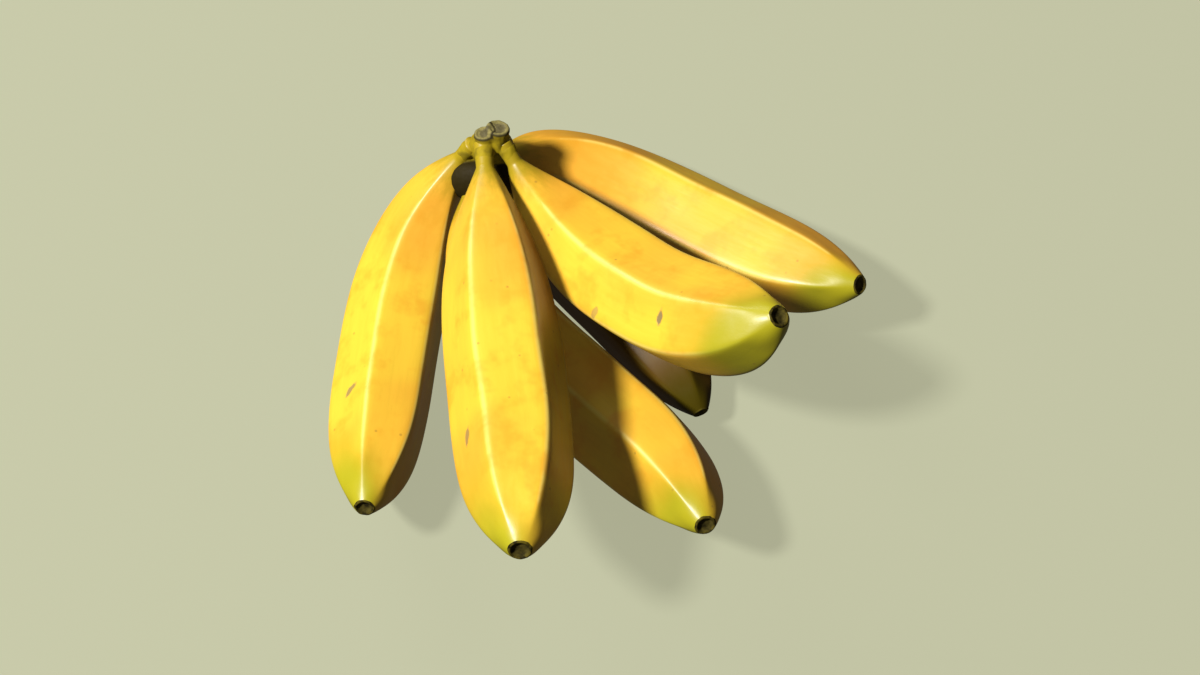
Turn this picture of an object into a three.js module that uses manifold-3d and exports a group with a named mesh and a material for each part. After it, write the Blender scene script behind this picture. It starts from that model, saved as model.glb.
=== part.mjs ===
// A hand of six plump yellow bananas, joined at a small cut crown and lying on its back with the tips up.
// Millimetres, +Z up. The origin is on the table, under the middle of the bunch.
import * as THREE from "three";
import { mergeVertices } from "three/addons/utils/BufferGeometryUtils.js";
import Module from "manifold-3d";

// The curve of each fruit runs from its start in the crown, past two handles, to its tip.
// Width is across the ridges. Turn is the angle in degrees from the outside of the bend to the narrow facet.
const FINGERS = [
  {
    name: "finger_left", width: 37.5, turn: 187,
    curve: [[-44, 70, 53], [-75, 61, 5], [-75, -9, 8], [-80, -59, 36]],
  },
  {
    name: "finger_front", width: 43, turn: 172,
    curve: [[-40, 67, 60], [-36, 14, 58], [-26, -43, 56], [-25, -87.3, 83]],
  },
  {
    name: "finger_right", width: 40, turn: 243,
    curve: [[-33, 68, 59], [-7, 28, 29], [37, -10, 59], [60, -12, 99]],
  },
  {
    name: "finger_rear", width: 37, turn: 95,
    curve: [[-38, 68, 46], [-13, 98, 1], [47, 42, 6], [92.6, 21, 42]],
  },
  {
    name: "finger_low", width: 39.5, turn: 194,
    curve: [[-44, 65, 41], [-58, 9, 18], [20, -11, 1], [37, -67, 42]],
  },
  {
    name: "finger_under", width: 31, turn: 180,
    curve: [[-37, 66, 37], [-19, 44, 6], [17, 27, 11], [37, -17, 14]],
  },
];

// Stations along a fruit, as fractions of its length
const NECK_END = 0.055;
const FULLEST = 0.56;
const FACETS_START = 0.04;
const FACETS_FULL = 0.2;
const FACETS_FADE = 0.92;

// Radii of a fruit, as fractions of its greatest radius, and the powers that shape the curves between them
const NECK_RADIUS = 0.145;
const TIP_RADIUS = 0.18;
const NECK_FLARE = 0.15;
const SHOULDER_POWER = 2.9;
const SHOULDER_EASE = 1.15;
const TIP_POWER = 3.6;

// The dry blossom cup at the tip: its inner radii as fractions of the tip's radius, and its depth
const CUP_MOUTH = 0.78;
const CUP_FLOOR = 0.6;
const CUP_DEPTH = 1.6;

// The soft five-sided section: one narrow facet and four equal wider ones
const FACETS = 5;
const NARROW_FACET = Math.PI / 3;
const WIDE_FACET = (2 * Math.PI - NARROW_FACET) / (FACETS - 1);
const RIDGE_SHARPNESS = 18;

// Mesh fineness: rings along a fruit, sides round it, and how far the rings are drawn toward both ends
const RINGS = 26;
const SIDES = 24;
const END_CROWDING = 0.1;

// The crown: a rounded lump, a web between the necks behind it, two cut stubs, and the gap left at each neck
const CROWN_LUMPS = [
  { centre: [-37.5, 70, 51], radii: [8, 6, 11.5] },
  { centre: [-41, 63, 38], radii: [13, 8, 11] },
];
const CROWN_SEGMENTS = 20;
const STUBS = [
  { face: [-39.6, 69.8, 64], lean: [-0.15, 0.43, 0.9], radius: 3.9 },
  { face: [-34.7, 71.3, 65], lean: [0.12, 0.43, 0.9], radius: 4.3 },
];
const STUB_LENGTH = 9;
const STUB_SIDES = 16;
const STUB_BEVEL = 0.7;
const CUT_RIM = 0.68;
const CUT_RECESS = 0.6;
const JOINT_GAP = 0.3;

const PEEL = new THREE.MeshStandardMaterial({ color: "#f0bf1f", roughness: 0.42, metalness: 0 });
const CUT_CROWN = new THREE.MeshStandardMaterial({ color: "#8c8260", roughness: 0.8, metalness: 0 });

const wasm = await Module();
wasm.setup();

const vector = (xyz) => new THREE.Vector3(...xyz);
const { lerp, smoothstep, degToRad } = THREE.MathUtils;

// A closed geometry as a solid that can be joined and cut
function solidFrom(geometry) {
  geometry.deleteAttribute("normal");
  geometry.deleteAttribute("uv");
  const merged = mergeVertices(geometry);
  const corners = merged.index.array;
  const triangles = [];
  for (let i = 0; i < corners.length; i += 3) {
    const [a, b, c] = corners.slice(i, i + 3);
    if (a !== b && b !== c && c !== a) {
      triangles.push(a, b, c);
    }
  }
  const vertProperties = new Float32Array(merged.attributes.position.array);
  const triVerts = new Uint32Array(triangles);
  return new wasm.Manifold(new wasm.Mesh({ numProp: 3, vertProperties, triVerts }));
}

// A named mesh made from a solid
function meshFrom(name, solid, material) {
  const { vertProperties, triVerts } = solid.getMesh();
  const geometry = new THREE.BufferGeometry();
  geometry.setAttribute("position", new THREE.BufferAttribute(vertProperties, 3));
  geometry.setIndex(new THREE.BufferAttribute(triVerts, 1));
  geometry.computeVertexNormals();
  const mesh = new THREE.Mesh(geometry, material);
  mesh.name = name;
  return mesh;
}

// Radius at a fraction of a fruit's length, as a fraction of its greatest radius
function radiusAt(along) {
  if (along < NECK_END) {
    const towardCrown = 1 - along / NECK_END;
    return NECK_RADIUS * (1 + NECK_FLARE * towardCrown ** 2);
  }
  if (along < FULLEST) {
    const before = (FULLEST - along) / (FULLEST - NECK_END);
    return lerp(NECK_RADIUS, 1, (1 - before ** SHOULDER_POWER) ** SHOULDER_EASE);
  }
  const past = (along - FULLEST) / (1 - FULLEST);
  return lerp(1, TIP_RADIUS, past ** TIP_POWER);
}

// Outline of a straight fruit, from the neck's end on the axis to the cup's floor on the axis
function fingerOutline(length, radius) {
  const outline = [new THREE.Vector2(0, 0)];
  for (let ring = 0; ring <= RINGS; ring += 1) {
    const even = ring / RINGS;
    const along = even - END_CROWDING * Math.sin(2 * Math.PI * even);
    outline.push(new THREE.Vector2(radius * radiusAt(along), length * along));
  }
  const tip = radius * TIP_RADIUS;
  outline.push(new THREE.Vector2(tip * CUP_MOUTH, length));
  outline.push(new THREE.Vector2(tip * CUP_FLOOR, length - CUP_DEPTH));
  outline.push(new THREE.Vector2(0, length - CUP_DEPTH));
  return outline;
}

// The section's radius at an angle from the middle of the narrow facet: 1 on the ridges and less between them
function sectionAt(angle) {
  const facing = (middle, span) => Math.max(Math.cos(angle - middle), 0) / Math.cos(span / 2);
  let sum = facing(0, NARROW_FACET) ** RIDGE_SHARPNESS;
  for (let facet = 0; facet < FACETS - 1; facet += 1) {
    sum += facing(NARROW_FACET / 2 + (facet + 0.5) * WIDE_FACET, WIDE_FACET) ** RIDGE_SHARPNESS;
  }
  return (sum / 2) ** (-1 / RIDGE_SHARPNESS);
}

// The facets fade out on the round neck and at the round tip
function facetsAt(along) {
  return smoothstep(along, FACETS_START, FACETS_FULL) * (1 - smoothstep(along, FACETS_FADE, 1));
}

// A unit vector square to the plane that a curve bends in
function bendPlane(curve) {
  const chord = curve.v3.clone().sub(curve.v0);
  const middle = curve.v0.clone().add(curve.v3).multiplyScalar(0.5);
  const sag = curve.getPoint(0.5).sub(middle);
  return chord.cross(sag).normalize();
}

// One fruit: a lathed straight fruit, given its facets, bent along its curve and pressed flat where it rests
function finger({ width, turn, curve }) {
  const path = new THREE.CubicBezierCurve3(...curve.map(vector));
  const length = path.getLength();
  const plane = bendPlane(path);
  const geometry = new THREE.LatheGeometry(fingerOutline(length, width / 2), SIDES);
  const positions = geometry.attributes.position;
  for (let i = 0; i < positions.count; i += 1) {
    const along = Math.min(positions.getY(i) / length, 1);
    const fromFacet = Math.atan2(positions.getX(i), positions.getZ(i));
    const round = Math.hypot(positions.getX(i), positions.getZ(i));
    const radius = round * lerp(1, sectionAt(fromFacet), facetsAt(along));
    const angle = fromFacet + degToRad(turn);
    const tangent = path.getTangentAt(along);
    const side = plane.clone().projectOnPlane(tangent).normalize();
    const outside = side.clone().cross(tangent);
    const spot = path.getPointAt(along);
    spot.addScaledVector(outside, radius * Math.cos(angle));
    spot.addScaledVector(side, radius * Math.sin(angle));
    positions.setXYZ(i, spot.x, spot.y, Math.max(spot.z, 0));
  }
  return solidFrom(geometry);
}

// A short stub that ends in a bevelled cut face with a shallow recess
function stub({ face, lean, radius }, grow) {
  const outer = radius + grow;
  const outline = [
    new THREE.Vector2(0, -STUB_LENGTH),
    new THREE.Vector2(outer, -STUB_LENGTH),
    new THREE.Vector2(outer, grow - STUB_BEVEL),
    new THREE.Vector2(outer - STUB_BEVEL, grow),
    new THREE.Vector2(outer * CUT_RIM, grow),
    new THREE.Vector2(outer * CUT_RIM, grow - CUT_RECESS),
    new THREE.Vector2(0, grow - CUT_RECESS),
  ];
  const geometry = new THREE.LatheGeometry(outline, STUB_SIDES);
  const upright = new THREE.Vector3(0, 1, 0);
  geometry.applyQuaternion(new THREE.Quaternion().setFromUnitVectors(upright, vector(lean).normalize()));
  geometry.translate(...face);
  return solidFrom(geometry);
}

// A rounded lump
function lump({ centre, radii }, grow) {
  const geometry = new THREE.SphereGeometry(1, CROWN_SEGMENTS, CROWN_SEGMENTS / 2);
  geometry.scale(...radii.map((radius) => radius + grow));
  geometry.translate(...centre);
  return solidFrom(geometry);
}

// The crown, or the room that it takes up when it is grown by a gap
function crown(grow) {
  const pieces = [...CROWN_LUMPS.map((each) => lump(each, grow)), ...STUBS.map((each) => stub(each, grow))];
  return pieces.reduce((joined, piece) => joined.add(piece));
}

const bunch = new THREE.Group();
bunch.add(meshFrom("crown", crown(0), CUT_CROWN));

const crownRoom = crown(JOINT_GAP);
for (const each of FINGERS) {
  bunch.add(meshFrom(each.name, finger(each).subtract(crownRoom), PEEL));
}

export default bunch;
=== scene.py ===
"""A hand of six plump yellow bananas, joined at a cut crown, on a plain pale floor in soft studio light."""

import math

import bpy
import numpy as np
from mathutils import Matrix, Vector, noise


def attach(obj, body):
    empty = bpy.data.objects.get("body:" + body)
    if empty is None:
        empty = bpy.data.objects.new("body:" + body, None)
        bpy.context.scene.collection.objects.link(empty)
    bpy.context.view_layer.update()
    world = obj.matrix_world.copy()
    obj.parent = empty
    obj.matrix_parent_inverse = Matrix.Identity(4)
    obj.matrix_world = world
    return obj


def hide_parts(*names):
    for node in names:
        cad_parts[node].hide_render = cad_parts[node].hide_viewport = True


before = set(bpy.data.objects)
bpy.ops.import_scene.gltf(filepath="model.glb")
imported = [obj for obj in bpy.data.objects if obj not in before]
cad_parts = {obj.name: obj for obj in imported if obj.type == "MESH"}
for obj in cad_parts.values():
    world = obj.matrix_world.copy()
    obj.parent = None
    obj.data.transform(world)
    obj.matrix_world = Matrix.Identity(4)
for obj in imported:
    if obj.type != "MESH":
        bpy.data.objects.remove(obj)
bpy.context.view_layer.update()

MM = 0.001

# Camera: looks down on the bunch, square to its spread
CAMERA_ELEVATION = 70
CAMERA_DISTANCE = 0.9917
CAMERA_TARGET = Vector((0.001, 0.002, 0.040))
CAMERA_LENS = 85
CAMERA_SENSOR = 36

# Studio light: a key from above on the left, a softer light from behind on the left, and a dim surround
KEY_DIRECTION = Vector((-0.53, -0.105, 0.84))
KEY_DISTANCE = 2.6
KEY_SIZE = 0.32
KEY_POWER = 110
BACK_DIRECTION = Vector((-0.5, 0.78, 0.38))
BACK_DISTANCE = 2.2
BACK_SIZE = 1.2
BACK_POWER = 20
SURROUND = (1.0, 0.95, 0.85)
SURROUND_STRENGTH = 0.08

# The floor lies a hair below the fruits, so that their flat spots don't share its surface
FLOOR_SIZE = 6
FLOOR_HEIGHT = -0.0001
FLOOR_COLOUR = (0.098, 0.100, 0.068)
FLOOR_GLOW = (0.404, 0.410, 0.277)

# The fruits, in millimetres as in the CAD model: each curve runs from the crown, past two handles, to the tip
# Width: across the ridges
# Turn: degrees from the outside of the bend to the middle of the narrow facet
# Tone: how orange the peel is
# Green: degrees from the narrow facet to the greenest side of the tip
# Unripe: how much further than usual the green reaches, as a fraction of the fruit's length
# Brown: how far the peel is painted dark brown, as painted shade on a fruit lying under the others
FINGERS = [
    {"name": "finger_left", "width": 37.5, "turn": 187, "tone": 0.15, "green": 94, "unripe": 0.01, "shade_paint": 0,
     "curve": [(-44, 70, 53), (-75, 61, 5), (-75, -9, 8), (-80, -59, 36)]},
    {"name": "finger_front", "width": 43, "turn": 172, "tone": 0.2, "green": 93, "unripe": 0.01, "shade_paint": 0,
     "curve": [(-40, 67, 60), (-36, 14, 58), (-26, -43, 56), (-25, -87.3, 83)]},
    {"name": "finger_right", "width": 40, "turn": 243, "tone": 0.15, "green": 82, "unripe": 0.09, "shade_paint": 0,
     "curve": [(-33, 68, 59), (-7, 28, 29), (37, -10, 59), (60, -12, 99)]},
    {"name": "finger_rear", "width": 37, "turn": 95, "tone": 0.5, "green": 140, "unripe": 0, "shade_paint": 0,
     "curve": [(-38, 68, 46), (-13, 98, 1), (47, 42, 6), (92.6, 21, 42)]},
    {"name": "finger_low", "width": 39.5, "turn": 194, "tone": 0.35, "green": 104, "unripe": 0.02, "shade_paint": 0,
     "curve": [(-44, 65, 41), (-58, 9, 18), (20, -11, 1), (37, -67, 42)]},
    # This fruit lies under the others, and its peel is painted dark brown all over as shade
    {"name": "finger_under", "width": 31, "turn": 180, "tone": 0.5, "green": 15, "unripe": 0, "shade_paint": 0.9,
     "curve": [(-37, 66, 37), (-19, 44, 6), (17, 27, 11), (37, -17, 14)]},
]

# Stations along a fruit, as fractions of its length
NECK_END = 0.055
FULLEST = 0.56
FACETS_START = 0.04
FACETS_FULL = 0.2
FACETS_FADE = 0.92

# Radii of a fruit, as fractions of its greatest radius, and the powers that shape the curves between them
NECK_RADIUS = 0.145
TIP_RADIUS = 0.18
NECK_FLARE = 0.15
SHOULDER_POWER = 2.9
SHOULDER_EASE = 1.15
TIP_POWER = 3.6

# The dry blossom cup: radius as a fraction of the tip's radius and depth in millimetres below the rim, the
# radii, counted inward, where its dark inside fades in, and where the husk starts along the fruit
CUP = [(0.97, -0.1), (0.9, -0.15), (0.82, 0.0), (0.76, 0.5), (0.68, 1.1), (0.45, 1.3), (0.2, 1.1)]
CUP_INSIDE = (-0.9, -0.7)
HUSK_START = 0.997

# The soft five-sided section: one narrow facet and four equal wider ones, and the ridges between them
FACETS = 5
NARROW_FACET = math.pi / 3
WIDE_FACET = (2 * math.pi - NARROW_FACET) / (FACETS - 1)
RIDGES = NARROW_FACET / 2 + WIDE_FACET * np.arange(FACETS)
FACET_SPANS = np.array([*[WIDE_FACET] * (FACETS - 1), NARROW_FACET])
RIDGE_SHARPNESS = 18

# Mesh fineness
RINGS = 170
SIDES_PER_FACET = 16
SIDES = SIDES_PER_FACET * FACETS
RIDGE_CROWDING = 1.6
END_CROWDING = 0.1
CURVE_STEPS = 400

# Unevenness of the grown surface, in millimetres, and the sizes of its lumps
DENT_DEPTH = 0.35
DENT_SIZE = 26
RIPPLE_DEPTH = 0.06
RIPPLE_SIZE = 5
RIPPLE_STRETCH = (1, 1, 0.3)
HUSK_ROUGHNESS = 0.25
HUSK_LUMP = 1.6

# How far the ridges wander round a fruit, in radians, how often, and what keeps the fruits from being alike
RIDGE_WANDER = 0.05
WANDER_RATE = 5
WANDER_STEP = 3.1
NOISE_STEP = 0.5

# How much later the green starts on the side away from the greenest, as a fraction of the fruit's length
GREEN_LAG = 0.16

# Marks on the peel: fraction along, degrees from the narrow facet, half length and half width in
# millimetres, degrees of lean from the fruit's length, and strength
SCARS = {
    "finger_left": [(0.715, 61, 2.2, 1.1, -50, 0.7)],
    "finger_front": [(0.72, 68, 2.4, 0.9, -25, 0.65)],
    "finger_right": [(0.705, -6, 2.6, 1.1, 80, 0.8), (0.495, 24, 1.6, 0.7, 80, 0.45)],
}

# How deep a mark reaches, in millimetres, and where its edge fades in, as fractions of its half size
SCAR_DEPTH = 6
SCAR_EDGE = (1.7, 1.0)

# The crown, in millimetres as in the CAD model
LUMP = {"centre": (-37.5, 70, 51), "radii": (8, 6, 11.5)}
# A lump behind the necks fills the gaps between them, and its front is painted dark as shade
GAP_FILL = {"centre": (-41, 63, 38), "radii": (13, 8, 11)}
STUBS = [
    {"face": (-39.6, 69.8, 64), "lean": (-0.15, 0.43, 0.9), "radius": 3.9},
    {"face": (-34.7, 71.3, 65), "lean": (0.12, 0.43, 0.9), "radius": 4.3},
]
STUB_LENGTH = 9
COLLAR_LENGTH = 0.05
COLLAR_RINGS = 9
COLLAR_SWELL = [(0, 0.6), (0.3, 1.1), (1, 0.96)]
CROWN_SIDES = 48
CROWN_VOXEL = 0.35
CROWN_EASING = 9
FIBRE_DEPTH = 0.1
FIBRE_SIZE = 1.3
FIBRE_STRETCH = (1, 1, 0.35)

# Where the cut faces and the painted shade on the lump that fills the gaps between the necks fade in
# Heights above a cut face and distances in front of the gap-filling lump's middle, in millimetres
CUT_HEIGHTS = (-1.6, -0.6)
GAP_SHADE_FRONT = (-5, -2)
# Distances from a stub's axis and from the gap-filling lump's middle, as fractions of their radii and counted
# inward
CUT_EDGE = (-1.25, -1.1)
GAP_SHADE_EDGE = (-1.12, -1.0)

# Sizes of the textures, as cells in a metre, and how they are stretched along a fruit or a stub
PATCH_SCALE = 22
MOTTLE_SCALE = 75
BLOTCH_SCALE = 160
SPECK_SCALE = 210
STREAK_SCALE = 500
FINE_SCALE = 1500
HUSK_SCALE = 500
CROWN_BLOTCH_SCALE = 260
CROWN_FIBRE_SCALE = 900
STREAK_STRETCH = (1, 1, 0.1)
FINE_STRETCH = (1, 1, 0.4)
CROWN_FIBRE_STRETCH = (1, 1, 0.3)

# Where along a fruit its colour changes: where the change starts and where it is complete
WARM_NECK = (0.52, 0.22)
WARM_TIP = (0.6, 0.8)
GREEN_TIP = (0.78, 0.96)
OLIVE_NECK = (0.17, 0.05)
# Where the painted shade on the fruit underneath starts, and where it is fully dark
PAINTED_SHADE_SPAN = (0.0, 0.3)

# Roughness and shine of the surfaces, and the depth of their fine relief in millimetres
PEEL_ROUGHNESS = (0.34, 0.42)
SCAR_ROUGHNESS = 0.4
HUSK_DULLNESS = 0.85
CROWN_ROUGHNESS = (0.6, 0.8)
FLOOR_ROUGHNESS = 0.9
FRESH_SHINE = 0.42
# The peel painted dark as shade has little shine
PAINTED_SHADE_SHINE = 0.1
HUSK_SHINE = 0.1
CROWN_SHINE = 0.12
FLOOR_SHINE = 0.1
STREAK_RELIEF = 0.08
FINE_RELIEF = 0.03
SCAR_RELIEF = -0.25
HUSK_RELIEF = 0.2
CROWN_RELIEF = 0.15

# Peel colours, in linear light
GOLD = (0.80, 0.38, 0.030)
LEMON = (0.82, 0.52, 0.035)
MOTTLE_ORANGE = (0.74, 0.33, 0.018)
# Painted highlight: a pale line laid along every ridge
RIDGE_PAINTED_HIGHLIGHT = (0.90, 0.72, 0.18)
TIP_GREEN = (0.34, 0.33, 0.008)
NECK_OLIVE = (0.36, 0.26, 0.008)
SPECK_BROWN = (0.25, 0.12, 0.025)
SCAR_GREY = (0.12, 0.095, 0.062)
# Painted shade: the dark brown laid over the fruit that lies under the others
PAINTED_SHADE_BROWN = (0.024, 0.011, 0.001)
HUSK_DARK = (0.016, 0.012, 0.002)
HUSK_OLIVE = (0.075, 0.058, 0.010)
HUSK_RIM = (0.10, 0.075, 0.006)

# Crown colours, in linear light
CUT_GREY = (0.11, 0.092, 0.042)
CUT_PALE = (0.24, 0.20, 0.065)
CUT_DARK = (0.030, 0.023, 0.008)
# Painted shade: near-black on the front of the lump that fills the gaps between the necks
GAP_PAINTED_SHADE = (0.022, 0.015, 0.002)


def smoothstep(values, low, high):
    """0 below low, 1 above high, and a smooth step between."""
    x = np.clip((values - low) / (high - low), 0, 1)
    return x * x * (3 - 2 * x)


def unit(vectors):
    """The same directions with length 1."""
    return vectors / np.linalg.norm(vectors, axis=-1, keepdims=True)


def lumps(points, size):
    """Smooth noise from about -1 to 1 at each point, with lumps of about that size."""
    flat = points.reshape(-1, 3) / size
    values = [noise.noise(Vector(point)) for point in flat]
    return np.array(values).reshape(points.shape[:-1])


def skin(rings):
    """Vertices and faces of a closed tube through rings of points, with a fan at each end."""
    count, sides = rings.shape[:2]
    first, last = count * sides, count * sides + 1
    vertices = np.concatenate([rings.reshape(-1, 3), [rings[0].mean(axis=0)], [rings[-1].mean(axis=0)]])
    faces = []
    for ring in range(count - 1):
        for side in range(sides):
            a = ring * sides + side
            b = ring * sides + (side + 1) % sides
            faces.append((a, b, b + sides, a + sides))
    for side in range(sides):
        after = (side + 1) % sides
        faces.append((first, after, side))
        faces.append((last, first - sides + side, first - sides + after))
    return vertices, faces


def new_object(name, vertices, faces):
    """A smooth-shaded mesh object in the scene."""
    mesh = bpy.data.meshes.new(name)
    mesh.from_pydata(vertices.tolist(), [], faces)
    mesh.shade_smooth()
    made = bpy.data.objects.new(name, mesh)
    bpy.context.collection.objects.link(made)
    return made


def set_attribute(mesh, name, values):
    """A number or a vector for each vertex, which the materials read."""
    kind, field = ("FLOAT_VECTOR", "vector") if values.ndim > 1 else ("FLOAT", "value")
    attribute = mesh.attributes.new(name, kind, "POINT")
    attribute.data.foreach_set(field, values.astype(np.float32).ravel())


class Surface:
    """A material, with short ways to add nodes to its shader."""

    def __init__(self, name):
        self.material = bpy.data.materials.new(name)
        self.material.use_nodes = True
        self.tree = self.material.node_tree
        self.shader = self.tree.nodes["Principled BSDF"]

    def put(self, socket, value):
        """Links a socket to another node's output, or sets its value."""
        if isinstance(value, bpy.types.NodeSocket):
            self.tree.links.new(value, socket)
        elif socket.type == "RGBA" and len(value) == 3:
            socket.default_value = (*value, 1)
        else:
            socket.default_value = value

    def add(self, kind, output=0, settings=None, **inputs):
        """Adds a node, sets its settings and inputs, and returns one of its outputs."""
        node = self.tree.nodes.new(kind)
        for key, value in (settings or {}).items():
            setattr(node, key, value)
        for key, value in inputs.items():
            self.put(node.inputs[key.replace("_", " ")], value)
        return node.outputs[output]

    def attribute(self, name, output="Fac"):
        """A value that each vertex carries."""
        return self.add("ShaderNodeAttribute", output, {"attribute_name": name})

    def mapped(self, vector, scale):
        """Places scaled along each axis."""
        return self.add("ShaderNodeMapping", Vector=vector, Scale=scale)

    def noise(self, vector, scale, detail=2.0, roughness=0.5):
        """Cloudy noise from 0 to 1."""
        return self.add("ShaderNodeTexNoise", Vector=vector, Scale=scale, Detail=detail, Roughness=roughness)

    def step(self, value, low, high, least=0.0, most=1.0):
        """A smooth step from least at low to most at high."""
        node = self.add("ShaderNodeMapRange", 0, {"interpolation_type": "SMOOTHSTEP"}, Value=value).node
        for key, number in (("From Min", low), ("From Max", high), ("To Min", least), ("To Max", most)):
            node.inputs[key].default_value = number
        return node.outputs[0]

    def math(self, operation, first, second):
        """A sum, product or other result of two values."""
        node = self.tree.nodes.new("ShaderNodeMath")
        node.operation = operation
        self.put(node.inputs[0], first)
        self.put(node.inputs[1], second)
        return node.outputs[0]

    def mix(self, factor, first, second, blend="MIX"):
        """A blend of two colours."""
        node = self.tree.nodes.new("ShaderNodeMix")
        node.data_type = "RGBA"
        node.blend_type = blend
        self.put(node.inputs["Factor"], factor)
        self.put(node.inputs[6], first)
        self.put(node.inputs[7], second)
        return node.outputs[2]

    def bump(self, height, distance, strength=1.0, normal=None):
        """Surface directions tilted by a height, over an earlier tilt if there is one."""
        inputs = {"Height": height, "Distance": distance, "Strength": strength}
        if normal is not None:
            inputs["Normal"] = normal
        return self.add("ShaderNodeBump", **inputs)


def radius_at(along):
    """Radius at fractions of a fruit's length, as a fraction of its greatest radius."""
    toward_crown = np.clip(1 - along / NECK_END, 0, 1)
    neck = NECK_RADIUS * (1 + NECK_FLARE * toward_crown ** 2)
    before = np.clip((FULLEST - along) / (FULLEST - NECK_END), 0, 1)
    shoulder = NECK_RADIUS + (1 - NECK_RADIUS) * (1 - before ** SHOULDER_POWER) ** SHOULDER_EASE
    past = np.clip((along - FULLEST) / (1 - FULLEST), 0, 1)
    taper = 1 - (1 - TIP_RADIUS) * past ** TIP_POWER
    return np.where(along < NECK_END, neck, np.where(along < FULLEST, shoulder, taper))


def section_at(angle):
    """The section's radius at angles from the narrow facet's middle: 1 on the ridges and less between."""
    middles = RIDGES + FACET_SPANS / 2
    facing = np.maximum(np.cos(angle[..., None] - middles), 0) / np.cos(FACET_SPANS / 2)
    return ((facing ** RIDGE_SHARPNESS).sum(axis=-1) / 2) ** (-1 / RIDGE_SHARPNESS)


def section_angles():
    """Angles round the section from the middle of the narrow facet, closest together at the ridges."""
    across = np.linspace(-1, 1, SIDES_PER_FACET, endpoint=False)
    crowded = np.sign(across) * (1 - (1 - np.abs(across)) ** RIDGE_CROWDING)
    return (RIDGES[:, None] + FACET_SPANS[:, None] * (1 + crowded) / 2).ravel()


def nearness_to_ridge(angle):
    """1 on the ridges, falling to 0 half a wide facet away."""
    away = np.abs((angle[..., None] - RIDGES + math.pi) % (2 * math.pi) - math.pi).min(axis=-1)
    return np.maximum(1 - away / (WIDE_FACET / 2), 0)


def facets_at(along):
    """The facets fade out on the round neck and at the round tip."""
    return smoothstep(along, FACETS_START, FACETS_FULL) * (1 - smoothstep(along, FACETS_FADE, 1))


class Path:
    """A fruit's curve, with points and directions at fractions of its length."""

    def __init__(self, corners):
        self.corners = np.array(corners) * MM
        self.parameter = np.linspace(0, 1, CURVE_STEPS)
        steps = np.linalg.norm(np.diff(self.point(self.parameter), axis=0), axis=1)
        self.travelled = np.concatenate([[0], np.cumsum(steps)])
        self.length = self.travelled[-1]
        start, end = self.corners[0], self.corners[3]
        sag = self.point(np.array([0.5]))[0] - (start + end) / 2
        self.plane = unit(np.cross(end - start, sag))

    def point(self, t):
        """Points on the curve, a cubic Bezier, at its own parameter."""
        start, leave, arrive, end = self.corners
        t = t[..., None]
        near_start = (1 - t) ** 3 * start + 3 * (1 - t) ** 2 * t * leave
        return near_start + 3 * (1 - t) * t ** 2 * arrive + t ** 3 * end

    def heading(self, t):
        """Directions along the curve at its own parameter."""
        start, leave, arrive, end = self.corners
        t = t[..., None]
        near_start = (1 - t) ** 2 * (leave - start) + 2 * (1 - t) * t * (arrive - leave)
        return unit(near_start + t ** 2 * (end - arrive))

    def frames(self, along):
        """Centre, heading, direction to the outside of the bend and sideways direction at each fraction."""
        t = np.interp(along * self.length, self.travelled, self.parameter)
        heading = self.heading(t)
        side = unit(self.plane - (heading @ self.plane)[:, None] * heading)
        return self.point(t), heading, np.cross(side, heading), side


def finger_stations(length, radius):
    """Fraction along, radius and cup mask of each ring, from the neck's end to the middle of the cup."""
    even = np.linspace(0, 1, RINGS + 1)
    along = even - END_CROWDING * np.sin(2 * math.pi * even)
    radii = radius * radius_at(along)
    cup_radii, cup_depths = np.array(CUP).T
    along = np.concatenate([along, 1 - cup_depths * MM / length])
    radii = np.concatenate([radii, radius * TIP_RADIUS * cup_radii])
    inside = np.concatenate([np.zeros(RINGS + 1), smoothstep(-cup_radii, *CUP_INSIDE)])
    return along, radii, inside


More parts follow.
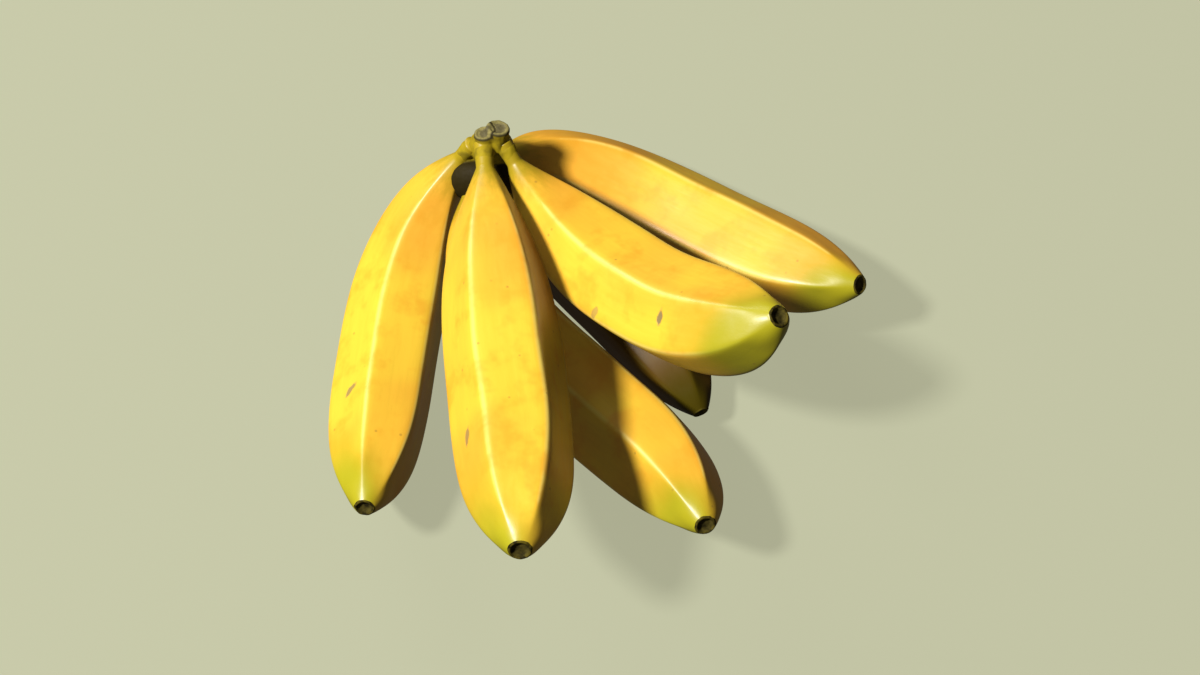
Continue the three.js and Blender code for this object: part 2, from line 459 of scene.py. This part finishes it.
def make_finger(finger, index):
    """One fruit: rings of points round its curve, with soft facets, dents and a rough blossom cup."""
    path = Path(finger["curve"])
    along, radii, inside = finger_stations(path.length, finger["width"] * MM / 2)
    centre, heading, outside, side = path.frames(np.minimum(along, 1))
    overshoot = np.maximum(along - 1, 0) * path.length
    centre = centre + overshoot[:, None] * heading

    from_facet = section_angles() + np.zeros((len(along), 1))
    angle = from_facet + math.radians(finger["turn"])
    facets = facets_at(along)[:, None]
    seed = Vector((WANDER_STEP * index, 0, 0))
    wander = np.array([noise.noise(seed + Vector((0, 0, WANDER_RATE * t))) for t in along])[:, None]
    angle = angle + RIDGE_WANDER * wander
    reach = radii[:, None] * (1 + (section_at(from_facet) - 1) * facets)

    straight = np.stack([
        reach * np.cos(from_facet),
        reach * np.sin(from_facet),
        path.length * along[:, None] + np.zeros_like(reach),
    ], axis=-1)
    shifted = straight + np.array([0, 0, index * NOISE_STEP])
    husk = ((along > HUSK_START) | (inside > 0)).astype(float)[:, None]
    fullness = (radii / radii.max())[:, None]
    reach = reach + MM * fullness * (1 - husk) * (
        DENT_DEPTH * lumps(shifted, DENT_SIZE * MM)
        + RIPPLE_DEPTH * lumps(shifted * RIPPLE_STRETCH, RIPPLE_SIZE * MM)
    )
    reach = reach + MM * husk * fullness / TIP_RADIUS * HUSK_ROUGHNESS * lumps(shifted, HUSK_LUMP * MM)

    rings = (
        centre[:, None]
        + (reach * np.cos(angle))[..., None] * outside[:, None]
        + (reach * np.sin(angle))[..., None] * side[:, None]
    )
    rings[..., 2] = np.maximum(rings[..., 2], 0)

    made = new_object(finger["name"].replace("finger", "banana"), *skin(rings))
    away_from_green = 0.5 - 0.5 * np.cos(from_facet - math.radians(finger["green"]))
    greenness = np.clip(along, 0, 1)[:, None] + finger["unripe"] - GREEN_LAG * away_from_green
    values = {
        "along": np.repeat(along[:, None], SIDES, axis=1),
        "ridge": nearness_to_ridge(from_facet) * facets,
        "green": greenness,
        "cup": np.repeat(inside[:, None], SIDES, axis=1),
        "tone": np.full(reach.shape, finger["tone"]),
        "shade_paint": np.full(reach.shape, finger["shade_paint"]),
    }
    for name, grid in values.items():
        set_attribute(made.data, name, np.concatenate([grid.ravel(), [grid[0, 0]], [grid[-1, 0]]]))
    ends = shifted[[0, -1]].mean(axis=1)
    set_attribute(made.data, "straight", np.concatenate([shifted.reshape(-1, 3), ends]))
    first_husk_corner = int(np.argmax(husk)) * SIDES
    for face in made.data.polygons:
        face.material_index = int(min(face.vertices) >= first_husk_corner)
    return made


def scar_mask(surface, straight, rough):
    """How scarred the peel is, from the marks listed for each fruit."""
    total = None
    for index, finger in enumerate(FINGERS):
        path = Path(finger["curve"])
        for along, degrees, half_length, half_width, lean, strength in SCARS.get(finger["name"], []):
            place = math.radians(degrees)
            reach = finger["width"] * MM / 2 * radius_at(np.array(along)) * section_at(np.array(place))
            height = path.length * along + index * NOISE_STEP
            spot = (reach * math.cos(place), reach * math.sin(place), height)
            local = surface.add(
                "ShaderNodeMapping", 0, {"vector_type": "TEXTURE"}, Vector=straight, Location=spot,
                Rotation=(math.radians(lean), 0, place),
                Scale=(SCAR_DEPTH * MM, half_width * MM, half_length * MM),
            )
            away = surface.add("ShaderNodeVectorMath", "Value", {"operation": "LENGTH"}, Vector=local)
            ragged = surface.math("ADD", away, rough)
            mark = surface.step(ragged, *SCAR_EDGE, 0.0, strength)
            total = mark if total is None else surface.math("MAXIMUM", total, mark)
    return total


def peel_material(name, shine):
    """Yellow peel with a painted highlight along the ridges, a green tip, an olive neck, specks, scars and
    painted shade.
    """
    surface = Surface(name)
    straight = surface.attribute("straight", "Vector")
    along = surface.attribute("along")
    ridge = surface.attribute("ridge")
    green = surface.attribute("green")
    tone = surface.attribute("tone")
    shade_paint = surface.attribute("shade_paint")

    patches = surface.noise(straight, PATCH_SCALE, 2)
    streaks = surface.noise(surface.mapped(straight, STREAK_STRETCH), STREAK_SCALE, 3, 0.6)
    fine = surface.noise(surface.mapped(straight, FINE_STRETCH), FINE_SCALE, 2)
    blotch = surface.noise(straight, BLOTCH_SCALE, 3)

    toward_neck = surface.step(along, *WARM_NECK, 0.0, 0.55)
    toward_tip = surface.step(along, *WARM_TIP, 0.0, 0.35)
    warmth = surface.math("ADD", tone, surface.math("ADD", toward_neck, toward_tip))
    warmth = surface.math("ADD", warmth, surface.step(patches, 0.3, 0.7, -0.4, 0.4))
    colour = surface.mix(surface.step(warmth, 0.0, 1.1), LEMON, GOLD)
    # Painted highlight: a pale line along the ridges
    colour = surface.mix(surface.step(ridge, 0.88, 1.0, 0.0, 0.5), colour, RIDGE_PAINTED_HIGHLIGHT)
    shade = surface.step(streaks, 0.25, 0.75, 0.965, 1.025)
    colour = surface.mix(1.0, colour, shade, "MULTIPLY")

    mottle = surface.noise(straight, MOTTLE_SCALE, 3, 0.6)
    colour = surface.mix(surface.step(mottle, 0.46, 0.72, 0.0, 0.65), colour, MOTTLE_ORANGE)

    uneven = surface.step(patches, 0.3, 0.7, -0.04, 0.04)
    tip = surface.step(surface.math("ADD", green, uneven), *GREEN_TIP, 0.0, 0.9)
    colour = surface.mix(tip, colour, TIP_GREEN)
    ragged_neck = surface.math("ADD", along, surface.step(streaks, 0.25, 0.75, -0.015, 0.015))
    colour = surface.mix(surface.step(ragged_neck, *OLIVE_NECK, 0.0, 0.95), colour, NECK_OLIVE)

    cells = surface.add("ShaderNodeTexVoronoi", "Distance", Vector=straight, Scale=SPECK_SCALE)
    chance = surface.add("ShaderNodeSeparateColor", 0, Color=cells.node.outputs["Color"])
    chosen = surface.step(chance, 0.86, 0.9)
    specks = surface.math("MULTIPLY", surface.step(cells, 0.15, 0.05, 0.0, 0.45), chosen)
    colour = surface.mix(specks, colour, SPECK_BROWN)

    rough_edge = surface.step(blotch, 0.2, 0.8, -0.7, 0.7)
    scars = scar_mask(surface, straight, rough_edge)
    colour = surface.mix(scars, colour, SCAR_GREY)

    # Painted shade: the fruit underneath turns dark brown from the crown along its length
    shade_paint_mask = surface.math("MULTIPLY", surface.step(along, *PAINTED_SHADE_SPAN), shade_paint)
    colour = surface.mix(shade_paint_mask, colour, PAINTED_SHADE_BROWN)

    surface.put(surface.shader.inputs["Base Color"], colour)
    roughness = surface.step(streaks, 0.2, 0.8, *PEEL_ROUGHNESS)
    roughness = surface.math("ADD", roughness, surface.math("MULTIPLY", scars, SCAR_ROUGHNESS))
    surface.put(surface.shader.inputs["Roughness"], roughness)
    surface.shader.inputs["Specular IOR Level"].default_value = shine
    normal = surface.bump(streaks, STREAK_RELIEF * MM, 0.4)
    normal = surface.bump(fine, FINE_RELIEF * MM, 0.4, normal)
    normal = surface.bump(scars, SCAR_RELIEF * MM, 0.8, normal)
    surface.put(surface.shader.inputs["Normal"], normal)
    return surface.material


def husk_material():
    """The dry dark blossom end: a mottled olive-brown rim round a darker cup."""
    surface = Surface("blossom_end")
    straight = surface.attribute("straight", "Vector")
    cup = surface.attribute("cup")
    blotch = surface.noise(straight, HUSK_SCALE, 3)
    rim = surface.mix(surface.step(blotch, 0.35, 0.65), HUSK_DARK, HUSK_RIM)
    floor = surface.mix(surface.step(blotch, 0.3, 0.7), HUSK_DARK, HUSK_OLIVE)
    surface.put(surface.shader.inputs["Base Color"], surface.mix(cup, rim, floor))
    surface.shader.inputs["Roughness"].default_value = HUSK_DULLNESS
    surface.shader.inputs["Specular IOR Level"].default_value = HUSK_SHINE
    surface.put(surface.shader.inputs["Normal"], surface.bump(blotch, HUSK_RELIEF * MM, 0.6))
    return surface.material


def lathe(profile, sides, origin, axis):
    """Rings of points for a profile of (radius, height), turned about an axis from an origin."""
    axis = np.array(Vector(axis).normalized())
    across = unit(np.cross(axis, (0, 1, 0) if abs(axis[0]) > 0.5 else (1, 0, 0)))
    other = np.cross(axis, across)
    angle = np.arange(sides) * 2 * math.pi / sides
    round_it = np.cos(angle)[:, None] * across + np.sin(angle)[:, None] * other
    radius, height = np.array(profile).T
    return np.array(origin) + radius[:, None, None] * round_it + (height[:, None] * axis)[:, None]


def stub_rings(stub):
    """A cut stub: straight sides, a rounded rim and a shallow hollow face."""
    radius = stub["radius"]
    profile = [
        (radius * 0.95, -STUB_LENGTH), (radius * 0.95, -3), (radius, -1.4), (radius, -0.7),
        (radius * 0.93, -0.15), (radius * 0.8, 0), (radius * 0.68, -0.15), (radius * 0.6, -0.7),
        (radius * 0.3, -0.75), (radius * 0.05, -0.6),
    ]
    return lathe(np.array(profile) * MM, CROWN_SIDES, np.array(stub["face"]) * MM, stub["lean"])


def lump_rings(lump):
    """A rounded lump."""
    polar = np.linspace(0.02, math.pi - 0.02, CROWN_SIDES // 2)
    profile = np.stack([np.sin(polar), -np.cos(polar)], axis=-1)
    rings = lathe(profile, CROWN_SIDES, (0, 0, 0), (0, 0, 1))
    return (rings * lump["radii"] + lump["centre"]) * MM


def lump_reach(points, lump):
    """Distance of points from a lump's centre: 1 on its surface."""
    return np.linalg.norm((points / MM - lump["centre"]) / lump["radii"], axis=1)


def collar_rings(finger):
    """A short sheath round the start of a fruit's neck, which joins it to the crown."""
    path = Path(finger["curve"])
    along = np.linspace(0, COLLAR_LENGTH, COLLAR_RINGS)
    centre, _, outside, side = path.frames(along)
    swell = np.interp(along / COLLAR_LENGTH, *np.array(COLLAR_SWELL).T)
    reach = finger["width"] * MM / 2 * radius_at(along) * swell
    angle = np.arange(CROWN_SIDES) * 2 * math.pi / CROWN_SIDES
    turning = np.cos(angle)[:, None] * outside[:, None] + np.sin(angle)[:, None] * side[:, None]
    return centre[:, None] + reach[:, None, None] * turning


def make_crown():
    """The crown: its body, cut stubs and neck collars grown into one lump, then roughened."""
    tubes = [lump_rings(lump) for lump in (LUMP, GAP_FILL)]
    tubes += [stub_rings(stub) for stub in STUBS]
    tubes += [collar_rings(finger) for finger in FINGERS]
    vertices, faces = [], []
    for rings in tubes:
        points, sides = skin(rings)
        start = sum(len(each) for each in vertices)
        vertices.append(points)
        faces += [tuple(corner + start for corner in face) for face in sides]
    rough = new_object("crown_parts", np.concatenate(vertices), faces)
    grown = rough.modifiers.new("grown", "REMESH")
    grown.mode = "VOXEL"
    grown.voxel_size = CROWN_VOXEL * MM
    eased = rough.modifiers.new("eased", "SMOOTH")
    eased.iterations = CROWN_EASING
    mesh = bpy.data.meshes.new_from_object(rough.evaluated_get(bpy.context.evaluated_depsgraph_get()))
    bpy.data.objects.remove(rough)

    count = len(mesh.vertices)
    points = np.empty(count * 3)
    normals = np.empty(count * 3)
    mesh.vertices.foreach_get("co", points)
    mesh.vertices.foreach_get("normal", normals)
    points, normals = points.reshape(-1, 3), normals.reshape(-1, 3)
    cut, ring = np.zeros(count), np.zeros(count)
    for stub in STUBS:
        axis = np.array(Vector(stub["lean"]).normalized())
        away = points - np.array(stub["face"]) * MM
        height = away @ axis
        across = np.linalg.norm(away - height[:, None] * axis, axis=1) / (stub["radius"] * MM)
        near = smoothstep(height / MM, *CUT_HEIGHTS) * smoothstep(-across, *CUT_EDGE)
        ring = np.where(near > cut, across, ring)
        cut = np.maximum(cut, near)
    fibres = lumps(points * FIBRE_STRETCH, FIBRE_SIZE * MM)
    points = points + normals * (FIBRE_DEPTH * MM * (1 + cut) * fibres)[:, None]
    mesh.vertices.foreach_set("co", points.ravel())
    mesh.shade_smooth()
    made = bpy.data.objects.new("cut_crown", mesh)
    bpy.context.collection.objects.link(made)
    set_attribute(mesh, "cut", cut)
    set_attribute(mesh, "ring", ring)
    # Painted shade on the front of the gap-filling lump
    behind_gap_fill = points[:, 1] / MM - GAP_FILL["centre"][1]
    in_front = smoothstep(-behind_gap_fill, *GAP_SHADE_FRONT)
    set_attribute(mesh, "web", in_front * smoothstep(-lump_reach(points, GAP_FILL), *GAP_SHADE_EDGE))
    return made


def crown_material():
    """Cut stalk: olive at the necks, painted shade on the front of the lump that fills the gaps, grey with
    pale rings on the cut faces.
    """
    surface = Surface("cut_crown")
    place = surface.add("ShaderNodeTexCoord", "Object")
    cut = surface.attribute("cut")
    ring = surface.attribute("ring")
    web = surface.attribute("web")
    fibres = surface.noise(surface.mapped(place, CROWN_FIBRE_STRETCH), CROWN_FIBRE_SCALE, 4, 0.65)
    blotch = surface.noise(place, CROWN_BLOTCH_SCALE, 3)

    colour = surface.mix(surface.step(blotch, 0.4, 0.75, 0.0, 0.5), NECK_OLIVE, CUT_DARK)
    colour = surface.mix(web, colour, GAP_PAINTED_SHADE)
    rings = surface.step(surface.math("ADD", ring, surface.step(blotch, 0.3, 0.7, -0.15, 0.15)), 0.45, 0.7)
    face = surface.mix(rings, CUT_GREY, CUT_PALE)
    face = surface.mix(surface.step(ring, 0.8, 1.0), face, CUT_DARK)
    face = surface.mix(surface.step(fibres, 0.45, 0.75, 0.0, 0.6), face, CUT_DARK)
    colour = surface.mix(cut, colour, face)

    surface.put(surface.shader.inputs["Base Color"], colour)
    surface.put(surface.shader.inputs["Roughness"], surface.step(fibres, 0.2, 0.8, *CROWN_ROUGHNESS))
    surface.shader.inputs["Specular IOR Level"].default_value = CROWN_SHINE
    surface.put(surface.shader.inputs["Normal"], surface.bump(fibres, CROWN_RELIEF * MM, 0.5))
    return surface.material


def make_floor():
    """A plain pale floor."""
    half = FLOOR_SIZE / 2
    corners = [(-half, -half), (half, -half), (half, half), (-half, half)]
    vertices = np.array([(x, y, FLOOR_HEIGHT) for x, y in corners])
    floor = new_object("floor", vertices, [(0, 1, 2, 3)])
    surface = Surface("pale_floor")
    surface.put(surface.shader.inputs["Base Color"], FLOOR_COLOUR)
    surface.shader.inputs["Roughness"].default_value = FLOOR_ROUGHNESS
    surface.shader.inputs["Specular IOR Level"].default_value = FLOOR_SHINE
    surface.put(surface.shader.inputs["Emission Color"], FLOOR_GLOW)
    surface.shader.inputs["Emission Strength"].default_value = 1
    floor.data.materials.append(surface.material)
    floor.visible_diffuse = False
    floor.visible_glossy = False


def add_light(name, direction, distance, size, power):
    """A round lamp that faces the bunch from a direction."""
    lamp = bpy.data.lights.new(name, "AREA")
    lamp.shape = "DISK"
    lamp.size = size
    lamp.energy = power
    made = bpy.data.objects.new(name, lamp)
    made.location = CAMERA_TARGET + direction.normalized() * distance
    made.rotation_mode = "QUATERNION"
    made.rotation_quaternion = direction.to_track_quat("Z", "Y")
    bpy.context.collection.objects.link(made)


def make_lights():
    """The key, the light from behind and the dim surround."""
    add_light("key", KEY_DIRECTION, KEY_DISTANCE, KEY_SIZE, KEY_POWER)
    add_light("back", BACK_DIRECTION, BACK_DISTANCE, BACK_SIZE, BACK_POWER)
    world = bpy.data.worlds.new("surround")
    world.use_nodes = True
    background = world.node_tree.nodes["Background"]
    background.inputs["Color"].default_value = (*SURROUND, 1)
    background.inputs["Strength"].default_value = SURROUND_STRENGTH
    bpy.context.scene.world = world


def make_camera():
    """The camera, and plain colour management that keeps the yellow strong."""
    lens = bpy.data.cameras.new("camera")
    lens.lens = CAMERA_LENS
    lens.sensor_width = CAMERA_SENSOR
    camera = bpy.data.objects.new("camera", lens)
    elevation = math.radians(CAMERA_ELEVATION)
    camera.location = CAMERA_TARGET + CAMERA_DISTANCE * Vector((0, -math.cos(elevation), math.sin(elevation)))
    camera.rotation_euler = (math.pi / 2 - elevation, 0, 0)
    bpy.context.collection.objects.link(camera)
    scene = bpy.context.scene
    scene.camera = camera
    scene.view_settings.view_transform = "Standard"


make_camera()
make_lights()
make_floor()

fresh_peel = peel_material("fresh_peel", FRESH_SHINE)
# The fruit underneath gets a peel painted dark brown as shade, with little shine
shade_painted_peel = peel_material("shade_painted_peel", PAINTED_SHADE_SHINE)
husk = husk_material()
for index, finger in enumerate(FINGERS):
    fruit = make_finger(finger, index)
    fruit.data.materials.append(shade_painted_peel if finger["shade_paint"] else fresh_peel)
    fruit.data.materials.append(husk)
    fruit.visible_diffuse = False
    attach(fruit, "root")
    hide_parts(finger["name"])

crown = make_crown()
crown.data.materials.append(crown_material())
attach(crown, "root")
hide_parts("crown")
